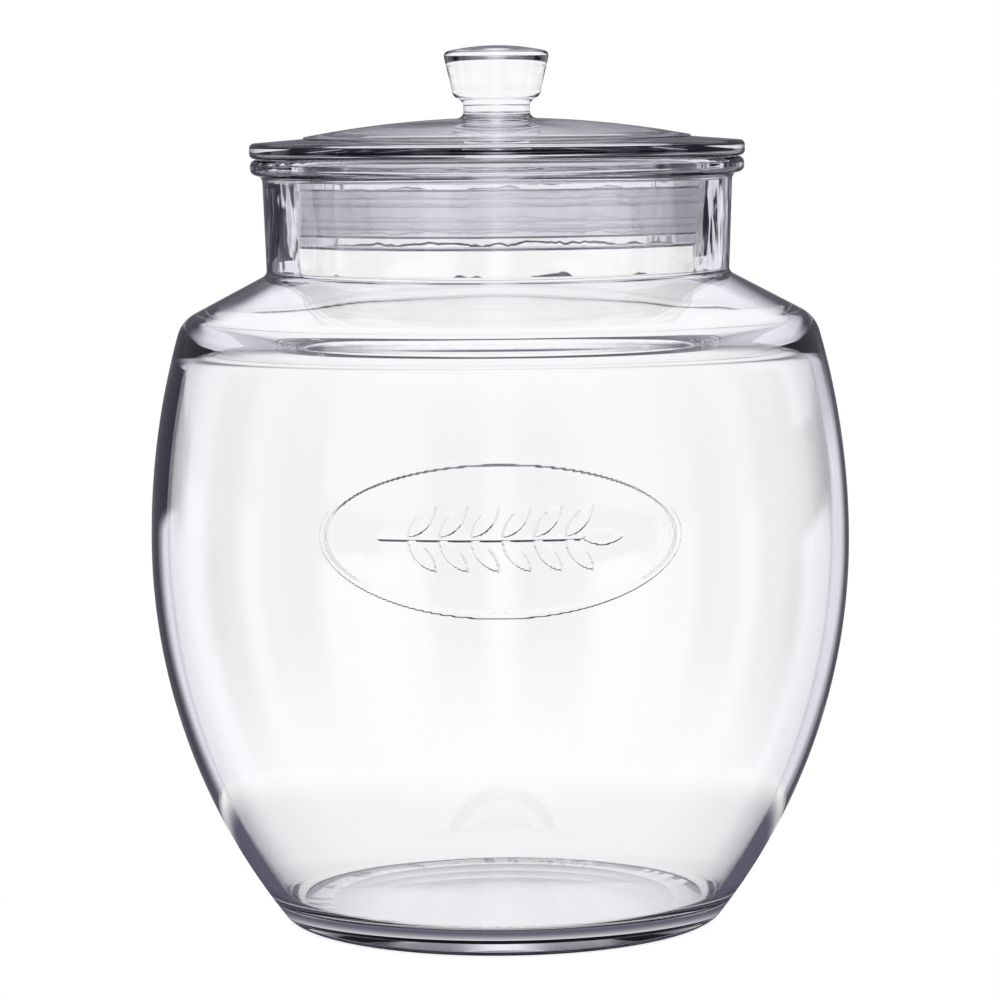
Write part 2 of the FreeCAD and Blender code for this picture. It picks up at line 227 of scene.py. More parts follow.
class StudioSizes(PropertyGroup):
    """Camera, floor and light. Headings count from the nearest of the four axes."""
    distance: length("Camera distance", "Camera to the jar's axis", 1150.0)
    eye_height: length("Eye height", "Camera above the floor", 233.8)
    pitch: angle("Pitch", "How far the camera looks down", 5.6)
    lens: number("Lens", "Focal length in millimetres", 143.8)
    roll: angle("Roll", "How far the camera leans to its right", 0.5)
    floor_radius: length("Floor radius", "Half the floor's width", 150.0)
    floor_glow: number("Floor glow", "Whitens the floor to the eye", 0.75)
    # Painted shade: edges of the dark floor ring that only the glass's reflections show.
    ring_start: length("Ring start", "Inner edge of the dark ring on the floor", 45.0)
    ring_rise: length("Ring rise", "Width over which the ring darkens", 15.0)
    ring_fade: length("Ring fade", "Width over which it fades to the floor's edge", 32.0)
    ambient: number("Ambient light", "Plain light on matt surfaces", 0.85)
    # Painted shade seen only through or off the glass: its windows, dark bands, low sky, gap and
    # low dark area, set by how many glass surfaces the light crossed.
    window: angle("Window half width", "Lit backdrop to either side", 20.5)
    ceiling: angle("Window top", "Lit backdrop above the horizon", 14.0)
    screen_start: angle("Screen start", "Near edge of the dark screens", 3.0)
    right_end: angle("Right screen end", "Far edge of the screen on the right", 23.0)
    left_end: angle("Left screen end", "Far edge of the screen on the left", 29.0)
    arm_bottom: angle("Arm bottom", "The left screens are wider above this", -3.6)
    arm_top: angle("Arm top", "The left screens are wider below this", 3.0)
    left_arm: angle("Left arm", "Far edge of the left screen's wider part", 54.0)
    screen_top: angle("Screen top", "Top edge of the screens", 14.0)
    screen_bottom: angle("Screen bottom", "Bottom edge of the screens", -26.0)
    screen_outside: share("Screen outside", "What outer surfaces lose of the screens", 0.15)
    screen_inside: share("Screen inside", "What the far walls lose of the screens", 0.7)
    canopy_shade: share("Canopy", "Darkness of the low sky in outer surfaces", 0.8)
    canopy_top: angle("Canopy top", "Top edge of that part of the sky", 22.0)
    gap: angle("Gap", "Light turned about in the glass is pale up to this heading", 10.0)
    well_shade: angle("Well", "Dark below this, through many layers of glass", -12.0)
    blur: angle("Blur", "Unit for the softness of all these edges", 2.0)


# ---------------------------------------------------------------- sections of turned pieces

def cross(a, b):
    return a.x * b.y - a.y * b.x


class Side:
    """One straight or round stretch of a section; x is the radius and y the height."""

    def __init__(self, start, end, centre=None, spacing=None):
        self.start = start
        self.end = end
        self.centre = centre
        self.spacing = spacing
        if centre is not None:
            self.radius = (start - centre).length
            self.turn = math.copysign(1.0, cross(start - centre, end - centre))

    def left(self, point):
        """The unit vector to the left of travel at a point beside the side."""
        if self.centre is None:
            along = (self.end - self.start).normalized()
            return Vector((-along.y, along.x))
        return (self.centre - point).normalized() * self.turn

    def distance(self, point):
        """How far a point lies to the left of the side."""
        if self.centre is None:
            return self.left(point).dot(point - self.start)
        return self.turn * (self.radius - (point - self.centre).length)

    def samples(self):
        """Points along the side with the normal on its right, ends included."""
        count = 1
        if self.centre is not None:
            sweep = (self.start - self.centre).angle(self.end - self.centre)
            step = 2 * math.acos(1 - min(ARC_FLATNESS / self.radius, 1.0))
            if self.spacing is not None:
                step = self.spacing / self.radius
            count = max(1, math.ceil(sweep / step))
        for i in range(count + 1):
            point = self.start.lerp(self.end, i / count)
            if self.centre is not None:
                turned = (self.start - self.centre).normalized()
                spin = self.turn * sweep * i / count
                turned = Vector((turned.x * math.cos(spin) - turned.y * math.sin(spin),
                                 turned.x * math.sin(spin) + turned.y * math.cos(spin)))
                point = self.centre + turned * self.radius
            yield point, -self.left(point)


def fillet(before, after, radius):
    """Shortens two sides that meet and returns the arc of that radius between them."""
    corner = before.end
    bend = cross(-before.left(corner), -after.left(corner))
    reach = math.copysign(radius, bend)
    centre = corner + (before.left(corner) + after.left(corner)) * reach
    for _ in range(FILLET_STEPS):
        a, b = before.left(centre), after.left(centre)
        miss_a, miss_b = reach - before.distance(centre), reach - after.distance(centre)
        area = cross(a, b)
        centre = centre + Vector((miss_a * b.y - miss_b * a.y, miss_b * a.x - miss_a * b.x)) / area
    before.end = centre - before.left(centre) * reach
    after.start = centre - after.left(centre) * reach
    return Side(before.end, after.start, centre)


class Section:
    """The outline of a turned piece, drawn with the material on its left."""

    def __init__(self, radius, height):
        self.here = Vector((radius, height))
        self.sides = []
        self.rounds = []

    def to(self, radius, height, round_by=0.0, centre=None, spacing=None):
        """Adds a side to a point, round about a centre if one is given, and its corner's radius."""
        end = Vector((radius, height))
        self.sides.append(Side(self.here, end, centre, spacing))
        self.rounds.append(round_by)
        self.here = end
        return self

    def samples(self):
        """All points and outward normals, with the corners rounded."""
        sides = list(self.sides)
        finished = []
        for i, side in enumerate(sides):
            finished.append(side)
            if self.rounds[i] > 0 and i + 1 < len(sides):
                finished.append(fillet(side, sides[i + 1], self.rounds[i]))
        found = []
        for side in finished:
            for point, normal in side.samples():
                if not found or (point - found[-1][0]).length > SAME_POINT:
                    found.append((point, normal))
        return found


def dome_centre(reach, rise, top):
    """Centre of an arc that is level on the axis at top and rise lower at reach."""
    return Vector((0.0, top - (reach ** 2 + rise ** 2) / (2 * rise)))


def line_meets_circle(start, step, centre, radius):
    """Where the line from start along the unit vector step first leaves the circle."""
    away = start - centre
    along = away.dot(step)
    return start + step * (math.sqrt(along ** 2 - away.dot(away) + radius ** 2) - along)


def belly_level(s):
    return s.height * s.belly_share


def belly_centres(s):
    """Centres of the side's lower and upper arcs, which meet upright at the belly."""
    knee_rise = s.height - s.lip_thickness - s.neck_length - s.shoulder_rise - belly_level(s)
    lower = (s.base_inset ** 2 + belly_level(s) ** 2) / (2 * s.base_inset)
    upper = (s.knee_inset ** 2 + knee_rise ** 2) / (2 * s.knee_inset)
    return (Vector((s.widest_radius - lower, belly_level(s))),
            Vector((s.widest_radius - upper, belly_level(s))))


def on_belly(s, level):
    """The point of the belly's outside at a level."""
    lower, upper = belly_centres(s)
    middle = upper if level > belly_level(s) else lower
    reach = s.widest_radius - middle.x
    return middle.x + math.sqrt(reach ** 2 - (level - middle.y) ** 2), level


def jar_section(s, badge):
    base_radius = s.widest_radius - s.base_inset
    ring_inside = base_radius - s.foot_ring_width
    neck_root_radius = s.neck_bore + s.neck_wall
    neck_top_radius = neck_root_radius + s.neck_flare
    lip_radius = neck_top_radius + s.lip_overhang
    lip_bottom = s.height - s.lip_thickness
    neck_root = Vector((neck_root_radius, lip_bottom - s.neck_length))
    knee = Vector((s.widest_radius - s.knee_inset, neck_root.y - s.shoulder_rise))
    lower, upper = belly_centres(s)

    down_shoulder = (knee - neck_root).normalized()
    inward = Vector((down_shoulder.y, -down_shoulder.x))
    on_shoulder = neck_root + inward * s.shoulder_wall
    bore_end = on_shoulder + down_shoulder * ((s.neck_bore - on_shoulder.x) / down_shoulder.x)
    inner_radius = s.widest_radius - s.side_wall
    inner_knee = line_meets_circle(bore_end, down_shoulder, upper, inner_radius - upper.x)
    floor = Vector((0.0, s.base_wall))
    inner_heel = line_meets_circle(floor, Vector((1.0, 0.0)), lower, inner_radius - lower.x)

    section = Section(0.0, s.push_up)
    section.to(ring_inside, 0.0, 0.0, dome_centre(ring_inside, s.push_up, s.push_up))
    section.to(base_radius, 0.0, s.heel_round)
    centre = belly_level(s) + badge.rise
    reach = badge.height / 2 + BADGE_MARGIN * badge.step
    section.to(*on_belly(s, centre - reach), 0.0, lower)
    section.to(s.widest_radius, belly_level(s), 0.0, lower, badge.step)
    section.to(*on_belly(s, centre + reach), 0.0, upper, badge.step)
    section.to(*knee, s.knee_round, upper)
    section.to(*neck_root, s.neck_root_round)
    section.to(neck_top_radius, lip_bottom, s.lip_round)
    section.to(lip_radius, lip_bottom, s.lip_round)
    section.to(lip_radius, s.height, s.lip_round)
    section.to(s.neck_bore, s.height, s.bore_mouth_round)
    section.to(*bore_end, s.bore_end_round)
    section.to(*inner_knee, s.inner_knee_round)
    section.to(inner_radius, belly_level(s), 0.0, upper)
    section.to(*inner_heel, s.inner_heel_round, lower)
    section.to(*floor)
    return section.samples()


def lid_levels(jar, s, seal):
    """Heights and radii that the lid and its seal share."""
    seat = jar.height + s.seat_gap
    collar_radius = jar.neck_bore - s.collar_clearance
    collar_end = seat - s.collar_length
    groove_bottom = collar_end + seal.from_collar_end
    groove_top = groove_bottom + seal.height + 2 * seal.fit
    return seat, collar_radius, collar_end, groove_bottom, groove_top


def lid_section(jar, s, seal):
    seat, collar_radius, collar_end, groove_bottom, groove_top = lid_levels(jar, s, seal)
    flange_radius = jar.neck_bore + jar.neck_wall + jar.neck_flare + jar.lip_overhang + s.overhang
    dome_radius = flange_radius - s.dome_inset
    groove_radius = collar_radius - s.groove_depth
    hollow_radius = collar_radius - s.collar_wall
    edge_top = seat + s.flange_edge
    flange_top = edge_top + s.flange_rise
    dome_foot = flange_top + s.dome_step
    crown = dome_foot + s.dome_rise
    dome = dome_centre(dome_radius, s.dome_rise, crown)
    sphere = crown - dome.y
    hollow_sphere = sphere - s.thickness
    knob_foot = dome.y + math.sqrt(sphere ** 2 - s.waist_radius ** 2)
    hollow_top = dome.y + math.sqrt(hollow_sphere ** 2 - hollow_radius ** 2)
    waist_top = knob_foot + s.waist_length
    cone_foot = waist_top + s.knob_step_length
    cone_top = cone_foot + s.knob_cone_length
    knob_top = cone_top + s.knob_crown

    section = Section(0.0, crown - s.thickness)
    section.to(hollow_radius, hollow_top, s.hollow_round, dome)
    section.to(hollow_radius, collar_end, s.collar_end_round)
    section.to(collar_radius, collar_end, s.collar_end_round)
    section.to(collar_radius, groove_bottom, s.groove_round)
    section.to(groove_radius, groove_bottom, s.groove_round)
    section.to(groove_radius, groove_top, s.groove_round)
    section.to(collar_radius, groove_top, s.groove_round)
    section.to(collar_radius, seat, s.collar_top_round)
    section.to(flange_radius, seat, s.flange_round)
    section.to(flange_radius, edge_top, s.flange_round)
    section.to(dome_radius, flange_top, s.dome_step / 2)
    section.to(dome_radius, dome_foot, s.dome_step / 2)
    section.to(s.waist_radius, knob_foot, s.knob_foot_round, dome)
    section.to(s.waist_radius, waist_top)
    half_step = s.knob_step_length / 2
    reach = s.knob_step_radius - s.waist_radius
    swing = (reach ** 2 + s.knob_step_length ** 2) / (4 * reach)
    section.to(s.waist_radius + reach / 2, waist_top + half_step, 0.0,
               Vector((s.waist_radius + swing, waist_top)))
    section.to(s.knob_step_radius, cone_foot, 0.0,
               Vector((s.knob_step_radius - swing, cone_foot)))
    section.to(s.knob_top_radius, cone_top, s.knob_top_round)
    section.to(0.0, knob_top, 0.0, dome_centre(s.knob_top_radius, s.knob_crown, knob_top))
    return section.samples()


def seal_section(jar, lid, s):
    groove_bottom = lid_levels(jar, lid, s)[3]
    inner = jar.neck_bore - lid.collar_clearance - lid.groove_depth + s.fit
    band = inner + s.band
    outer = jar.neck_bore - s.fit
    bottom = groove_bottom + s.fit
    pitch = s.height / s.ribs
    edge = s.edge_round
    half_rib = s.rib_height / 2
    swell = outer - band
    bulge = (swell ** 2 + half_rib ** 2) / (2 * swell)
    section = Section(inner, bottom + s.height / 2)
    section.to(inner, bottom, edge)
    section.to(band, bottom, edge)
    for rib in range(s.ribs):
        middle = bottom + (rib + 0.5) * pitch
        centre = Vector((outer - bulge, middle))
        section.to(band, middle - half_rib, edge / 2)
        section.to(outer, middle, 0.0, centre)
        section.to(band, middle + half_rib, edge / 2, centre)
    section.to(band, bottom + s.height, edge)
    section.to(inner, bottom + s.height, edge)
    section.to(inner, bottom + s.height / 2)
    return section.samples()


# ---------------------------------------------------------------- turning a section on the lathe

class Graph:
    """Adds nodes to a tree. A node takes its type, its settings, and a value or link per socket,
    which is named with _ for a space, or i0, i1 and so on by place."""

    def __init__(self, tree):
        self.tree = tree

    def node(self, kind, settings=None, **sockets):
        made = self.tree.nodes.new(kind)
        for name, value in (settings or {}).items():
            setattr(made, name, value)
        for name, value in sockets.items():
            key = int(name[1:]) if name[1:].isdigit() else name.replace("_", " ")
            self.feed(made.inputs[key], value)
        return made

    def feed(self, target, value):
        if isinstance(value, Term):
            value = value.socket
        if isinstance(value, bpy.types.NodeSocket):
            self.tree.links.new(value, target)
        else:
            target.default_value = value

    def term(self, made, output=0):
        return Term(self, made.outputs[output])

    def maths(self, operation, *values):
        sockets = {"i%d" % i: value for i, value in enumerate(values)}
        return self.term(self.node("ShaderNodeMath", {"operation": operation}, **sockets))


class Term:
    """A socket that takes part in Python arithmetic by adding Math nodes."""

    def __init__(self, graph, socket):
        self.graph = graph
        self.socket = socket

    def __add__(self, other):
        return self.graph.maths("ADD", self, other)

    def __sub__(self, other):
        return self.graph.maths("SUBTRACT", self, other)

    def __rsub__(self, other):
        return self.graph.maths("SUBTRACT", other, self)

    def __mul__(self, other):
        return self.graph.maths("MULTIPLY", self, other)

    def __truediv__(self, other):
        return self.graph.maths("DIVIDE", self, other)

    def __abs__(self):
        return self.graph.maths("ABSOLUTE", self)

    __radd__ = __add__
    __rmul__ = __mul__

    def ramp(self, low, high):
        """0 at low and 1 at high, smooth between; low may be the larger."""
        settings = {"interpolation_type": "SMOOTHSTEP", "clamp": True}
        node = self.graph.node("ShaderNodeMapRange", settings, Value=self,
                               From_Min=low, From_Max=high, To_Min=0.0, To_Max=1.0)
        return self.graph.term(node)

    def at_least(self, count):
        """1 where a whole number is count or more, else 0."""
        return self.ramp(count - 0.75, count - 0.25)


def lathe_tree():
    """Geometry Nodes that turn the points of a section through the angles of a second mesh."""
    tree = bpy.data.node_groups.new("Lathe", "GeometryNodeTree")
    face = tree.interface
    face.new_socket("Section", in_out="INPUT", socket_type="NodeSocketGeometry")
    face.new_socket("Angles", in_out="INPUT", socket_type="NodeSocketObject")
    weld = face.new_socket("Weld Distance", in_out="INPUT", socket_type="NodeSocketFloat")
    weld.default_value = WELD
    face.new_socket("Finish", in_out="INPUT", socket_type="NodeSocketMaterial")
    face.new_socket("Turned", in_out="OUTPUT", socket_type="NodeSocketGeometry")
    g = Graph(tree)
    given = g.node("NodeGroupInput")
    section = given.outputs["Section"]
    angles = g.node("GeometryNodeObjectInfo", Object=given.outputs["Angles"]).outputs["Geometry"]
    rows = g.term(g.node("GeometryNodeAttributeDomainSize", Geometry=section), "Point Count")
    columns = g.term(g.node("GeometryNodeAttributeDomainSize", Geometry=angles), "Point Count")
    grid = g.node("GeometryNodeMeshGrid", Vertices_X=columns, Vertices_Y=rows)
    index = g.term(g.node("GeometryNodeInputIndex"))
    column = g.maths("FLOOR", (index + 0.5) / rows)
    row = index - column * rows

    per_point = {"data_type": "FLOAT_VECTOR", "domain": "POINT"}

    def sampled(source, value, at):
        node = g.node("GeometryNodeSampleIndex", per_point, Geometry=source, Value=value, Index=at)
        return g.node("ShaderNodeSeparateXYZ", Vector=node.outputs[0]).outputs

    position = g.node("GeometryNodeInputPosition").outputs[0]
    outward = g.node("GeometryNodeInputNamedAttribute", {"data_type": "FLOAT_VECTOR"},
                     Name="outward").outputs[0]
    angle_at = Term(g, sampled(angles, position, column)["X"])
    sine = g.maths("SINE", angle_at)
    cosine = g.maths("COSINE", angle_at)

    def swung(vector):
        across = Term(g, vector["X"])
        return g.node("ShaderNodeCombineXYZ", X=across * sine, Y=across * cosine * -1.0,
                      Z=vector["Z"]).outputs[0]

    placed = g.node("GeometryNodeSetPosition", Geometry=grid.outputs["Mesh"],
                    Position=swung(sampled(section, position, row)))
    kept = g.node("GeometryNodeStoreNamedAttribute", per_point, Geometry=placed.outputs[0],
                  Name="outward", Value=swung(sampled(section, outward, row)))
    welded = g.node("GeometryNodeMergeByDistance", Geometry=kept.outputs[0],
                    Distance=given.outputs["Weld Distance"])
    smooth = g.node("GeometryNodeSetShadeSmooth", Geometry=welded.outputs[0])
    real = g.node("GeometryNodeRealizeInstances", Geometry=smooth.outputs[0])
    painted = g.node("GeometryNodeSetMaterial", Geometry=real.outputs[0],
                     Material=given.outputs["Finish"])
    g.node("NodeGroupOutput", Turned=painted.outputs[0])
    return tree


def named_tree(name, make):
    return bpy.data.node_groups.get(name) or make()


def set_input(modifier, name, value):
    """Sets a modifier's input by the identifier of the tree's socket with that name."""
    for item in modifier.node_group.interface.items_tree:
        if item.item_type == "SOCKET" and item.in_out == "INPUT" and item.name == name:
            modifier[item.identifier] = value
            return
    raise KeyError(name)


def section_mesh(name, samples):
    """The points of a section as loose vertices in the XZ plane, with their normals."""
    mesh = bpy.data.meshes.new(name)
    mesh.from_pydata([(p.x, 0.0, p.y) for p, _ in samples], [], [])
    outward = mesh.attributes.new("outward", "FLOAT_VECTOR", "POINT")
    outward.data.foreach_set("vector", [c for _, n in samples for c in (n.x, 0.0, n.y)])
    return mesh


def turn(name, samples, angles, finish):
    """Turns a section into a closed, smooth-shaded mesh object that keeps its exact normals in the
    outward attribute.
    """
    columns = bpy.data.meshes.new(name + "_angles")
    columns.from_pydata([(a, 0.0, 0.0) for a in angles], [], [])
    spindle = bpy.data.objects.new(name + "_angles", columns)
    piece = bpy.data.objects.new(name, section_mesh(name + "_section", samples))
    for made in (spindle, piece):
        bpy.context.scene.collection.objects.link(made)
    modifier = piece.modifiers.new("Lathe", "NODES")
    modifier.node_group = named_tree("Lathe", lathe_tree)
    set_input(modifier, "Angles", spindle)
    set_input(modifier, "Finish", finish)
    bpy.context.view_layer.update()
    graph = bpy.context.evaluated_depsgraph_get()
    mesh = bpy.data.meshes.new_from_object(piece.evaluated_get(graph), depsgraph=graph,
                                           preserve_all_data_layers=True)
    piece.modifiers.remove(modifier)
    piece.data = mesh
    mesh.name = name
    bpy.data.objects.remove(spindle)
    face_outwards(mesh)
    return piece


def face_outwards(mesh):
    """Turns all faces of a closed mesh outwards."""
    shell = bmesh.new()
    shell.from_mesh(mesh)
    bmesh.ops.recalc_face_normals(shell, faces=shell.faces)
    open_edges = [e for e in shell.edges if len(e.link_faces) != 2]
    shell.to_mesh(mesh)
    shell.free()
    if open_edges:
        raise RuntimeError("%s has %d open edges" % (mesh.name, len(open_edges)))


def read_vectors(mesh, attribute):
    values = np.empty(len(mesh.vertices) * 3)
    mesh.attributes[attribute].data.foreach_get("vector", values)
    return values.reshape(-1, 3)


def set_normals(mesh, normals):
    """Gives a mesh exact normals in place of those averaged from its faces."""
    lengths = np.maximum(np.linalg.norm(normals, axis=1, keepdims=True), 1e-12)
    mesh.attributes.remove(mesh.attributes["outward"])
    mesh.normals_split_custom_set_from_vertices((normals / lengths).tolist())


def even_angles(step_degrees, start=0.0, end=2 * math.pi):
    count = math.ceil((end - start) / math.radians(step_degrees))
    return [start + (end - start) * i / count for i in range(count + 1)]


# ---------------------------------------------------------------- the raised badge

def ellipse_depth(x, z, a, b):
    """How far points lie inside an ellipse, to first order."""
    level = (x / a) ** 2 + (z / b) ** 2
    slope = 2 * np.sqrt((x / a ** 2) ** 2 + (z / b ** 2) ** 2)
    return (1 - level) / np.maximum(slope, 1.0)


def leaf_depth(x, z, root, lean, size, width):
    """How far points lie inside a pointed leaf of two arcs."""
    along = (x - root[0]) * math.cos(lean) + (z - root[1]) * math.sin(lean)
    across = (z - root[1]) * math.cos(lean) - (x - root[0]) * math.sin(lean)
    radius = ((size / 2) ** 2 + (width / 2) ** 2) / width
    shift = radius - width / 2
    upper = np.hypot(along - size / 2, across + shift)
    lower = np.hypot(along - size / 2, across - shift)
    return radius - np.maximum(upper, lower)


def badge_depth(x, z, s):
    """How far points lie inside the badge's raised lines, measured in its plane."""
    ring_outside = ellipse_depth(x, z, s.width / 2, s.height / 2)
    ring_inside = ellipse_depth(x, z, s.width / 2 - s.rib, s.height / 2 - s.rib)
    depth = np.minimum(ring_outside, -ring_inside)
    start = -s.sprig_length / 2
    stem_length = s.sprig_length - s.leaf_length
    stem_x = np.clip(x, start + s.stem / 2, start + stem_length)
    depth = np.maximum(depth, s.stem / 2 - np.hypot(x - stem_x, z))
    roots = [(start + stem_length * (pair + 1) / (s.pairs + 0.5), side * s.leaf_angle)
             for pair in range(s.pairs) for side in (1, -1)]
    roots.append((start + stem_length, 0.0))
    for root, lean in roots:
        depth = np.maximum(depth, leaf_depth(x, z, (root, 0.0), lean, s.leaf_length, s.leaf_width))
    return depth


def badge_relief(x, z, s):
    """Height of the relief, with a smooth slope of the edge's width inside each outline."""
    t = np.clip(badge_depth(x, z, s) / s.edge, 0.0, 1.0)
    return s.relief * t * t * (3 - 2 * t)


def press_badge(mesh, jar, badge):
    """Raises the badge out of the belly's front, and tilts the normals to match."""
    count = len(mesh.vertices)
    place = np.empty(count * 3)
    mesh.vertices.foreach_get("co", place)
    place = place.reshape(-1, 3)
    normal = read_vectors(mesh, "outward")
    centre = belly_level(jar) + badge.rise
    x, z = place[:, 0], place[:, 2] - centre
    facing = (place[:, 1] < 0) & (np.einsum("ij,ij->i", place[:, :2], normal[:, :2]) > 0)
    facing &= (np.abs(x) < badge.width) & (np.abs(z) < badge.height)
    raised = np.where(facing, badge_relief(x, z, badge), 0.0)
    slope = np.zeros((count, 3))
    slope[:, 0] = badge_relief(x + NUDGE, z, badge) - badge_relief(x - NUDGE, z, badge)
    slope[:, 2] = badge_relief(x, z + NUDGE, badge) - badge_relief(x, z - NUDGE, badge)
    slope = np.where(facing[:, None], slope / (2 * NUDGE), 0.0)
    across = slope - normal * np.einsum("ij,ij->i", slope, normal)[:, None]
    mesh.vertices.foreach_set("co", (place + normal * raised[:, None]).ravel())
    mesh.update()
    set_normals(mesh, normal - across)


def jar_angles(jar, badge):
    """Close columns under the badge at the front, wider ones round the rest."""
    half = math.asin((badge.width / 2 + BADGE_MARGIN * badge.step) / jar.widest_radius)
    front = even_angles(math.degrees(badge.step / jar.widest_radius), -half, half)
    return front + even_angles(JAR_STEP, half, 2 * math.pi - half)[1:]


# ---------------------------------------------------------------- materials

def new_material(name):
    material = bpy.data.materials.new(name)
    material.use_nodes = True
    material.node_tree.nodes.clear()
    return material, Graph(material.node_tree)


def principled(g, **sockets):
    shader = g.node("ShaderNodeBsdfPrincipled", **sockets)
    g.node("ShaderNodeOutputMaterial", Surface=shader.outputs[0])
    return shader


def noise(g, place, scale, detail):
    node = g.node("ShaderNodeTexNoise", Vector=place, Scale=scale, Detail=detail)
    return Term(g, node.outputs["Fac"])


def bumped(g, height, depth, strength=1.0):
    node = g.node("ShaderNodeBump", Strength=strength, Distance=depth, Height=height)
    return node.outputs[0]


def jar_waves(g, ripples, knee, neck):
    """Normal of the jar's glass: more uneven over the shoulder, streaky upright in the neck."""
    place = g.node("ShaderNodeTexCoord").outputs["Object"]
    level = Term(g, g.node("ShaderNodeSeparateXYZ", Vector=place).outputs["Z"])
    blend = ripples.blend
    height = noise(g, place, ripples.jar_scale, ripples.detail)
    height = height * (level.ramp(knee - blend, knee + blend) * ripples.shoulder_gain + 1.0)
    squash = (1.0, 1.0, ripples.streak_squash)
    stretched = g.node("ShaderNodeMapping", Vector=place, Scale=squash).outputs[0]
    streaks = noise(g, stretched, ripples.streak_scale, ripples.streak_detail)
    streaks = streaks * (ripples.streak_depth / ripples.jar_depth)
    height = height + level.ramp(neck, neck + 2 * blend) * streaks
    return bumped(g, height, ripples.jar_depth)


def lid_waves(g, ripples):
    """Normal of the lid's glass."""
    place = g.node("ShaderNodeTexCoord").outputs["Object"]
    return bumped(g, noise(g, place, ripples.lid_scale, ripples.detail), ripples.lid_depth)


def glass_material(name, tint, index, normal):
    """Clear glass; normal makes the nodes for its unevenness."""
    material, g = new_material(name)
    principled(g, Base_Color=rgba(tint), Roughness=0.0, IOR=index, Transmission_Weight=1.0,
               Normal=normal(g))
    return material


def silicone_material(finishes, ripples):
    material, g = new_material("frosted_silicone")
    place = g.node("ShaderNodeTexCoord").outputs["Object"]
    frost = noise(g, place, ripples.frost_scale, ripples.frost_detail)
    principled(g, Base_Color=rgba(finishes.silicone), Roughness=finishes.silicone_haze,
               IOR=finishes.silicone_index, Transmission_Weight=finishes.silicone_clearness,
               Alpha=finishes.silicone_cover,
               Normal=bumped(g, frost, ripples.frost_depth, ripples.frost_strength))
    return material


def mixed(g, factor, first, second):
    """Mixes two colours."""
    node = g.node("ShaderNodeMix", {"data_type": "RGBA"})
    g.feed(node.inputs[0], factor)
    g.feed(node.inputs[6], first)
    g.feed(node.inputs[7], second)
    return node.outputs[2]


def rgba(value):
    return (*value, 1.0)


def inside_glass(g, path):
    """1 for light on its way to the camera by way of glass."""
    return g.maths("MAXIMUM", Term(g, path["Is Glossy Ray"]), Term(g, path["Is Transmission Ray"]))


def studio_world(finishes, studio):
    """White to the camera and through plain glass, with painted shade in the glass's reflections
    and in thick glass, set by how many glass surfaces the light has crossed.
    """
    world = bpy.data.worlds.new("Studio")
    world.use_nodes = True
    world.node_tree.nodes.clear()
    g = Graph(world.node_tree)

    def above(value, edge, before=1, after=1):
        """1 above an edge and 0 below it, blurred on either side by so many units."""
        return value.ramp(edge - before * studio.blur, edge + after * studio.blur)

    def below(value, edge, units=1):
        return value.ramp(edge + units * studio.blur, edge - units * studio.blur)

    toward = g.node("ShaderNodeTexCoord").outputs["Generated"]
    axes = g.node("ShaderNodeSeparateXYZ", Vector=toward).outputs
    heading = g.maths("ARCTAN2", Term(g, axes["X"]), Term(g, axes["Y"]))
    climb = g.maths("ARCSINE", Term(g, axes["Z"]))
    path = g.node("ShaderNodeLightPath").outputs
    crossings = Term(g, path["Transmission Depth"])
    bounces = Term(g, path["Glossy Depth"])
    outside = 1.0 - crossings.at_least(1)
    thick = crossings.at_least(THICK)
    layered = crossings.at_least(LAYERED)
    shade = rgba(finishes.shade)

    # Reflections: painted shade, a pair of dark bands beside each axis that only the glass's
    # reflections show, the left one with an arm past the corner
    corner = math.radians(45.0)
    swing = g.maths("WRAP", heading, corner, -corner)
    arm = above(climb, studio.arm_bottom) * below(climb, studio.arm_top)
    left_end = arm * (studio.left_end - studio.left_arm) - studio.left_end
    past_corner = arm * above(swing, 2 * corner - studio.left_arm, before=0, after=2)
    right = g.maths("MAXIMUM", below(swing, studio.right_end, 2), past_corner)
    screen_shade = above(abs(swing), studio.screen_start, after=3) * right
    screen_shade = screen_shade * above(swing, left_end, before=2, after=2)
    screen_shade = screen_shade * below(climb, studio.screen_top, 4)
    screen_shade = screen_shade * above(climb, studio.screen_bottom, before=6, after=6)
    dark = screen_shade * (1.0 - outside * studio.screen_outside - thick * studio.screen_inside)
    # Painted shade: light reflected twice in the glass turns dark beyond the gap heading.
    turned_about_shade = bounces.at_least(2) * above(abs(swing), studio.gap, before=0, after=7)
    dark = g.maths("MAXIMUM", dark, turned_about_shade)
    # Painted shade: the low sky, dark only in reflections off outer surfaces.
    canopy_shade = outside * above(climb, 0.0) * below(climb, studio.canopy_top, 2)
    dark = g.maths("MAXIMUM", dark, canopy_shade * studio.canopy_shade)
    # Painted reflection: the pale tint where the painted shade leaves it.
    painted_reflected_colour = mixed(g, dark, rgba(finishes.painted_reflection_tint), shade)

    # Straight through: white, but light through thick glass gets painted shade outside a row of
    # windows, and more painted shade below, through many layers
    aside = g.maths("PINGPONG", heading, corner / 2)
    window = below(aside, studio.window) * below(climb, studio.ceiling, 2)
    straight = mixed(g, thick * (1.0 - window), WHITE, shade)
    straight = mixed(g, layered * below(climb, studio.well_shade), straight, shade)

    seen = mixed(g, g.maths("MINIMUM", bounces, 1.0), straight, painted_reflected_colour)
    plain = rgba((studio.ambient, studio.ambient, studio.ambient))
    shown = mixed(g, inside_glass(g, path), plain, seen)
    shown = mixed(g, Term(g, path["Is Camera Ray"]), shown, WHITE)
    background = g.node("ShaderNodeBackground", Color=shown, Strength=1.0)
    g.node("ShaderNodeOutputWorld", Surface=background.outputs[0])
    return world


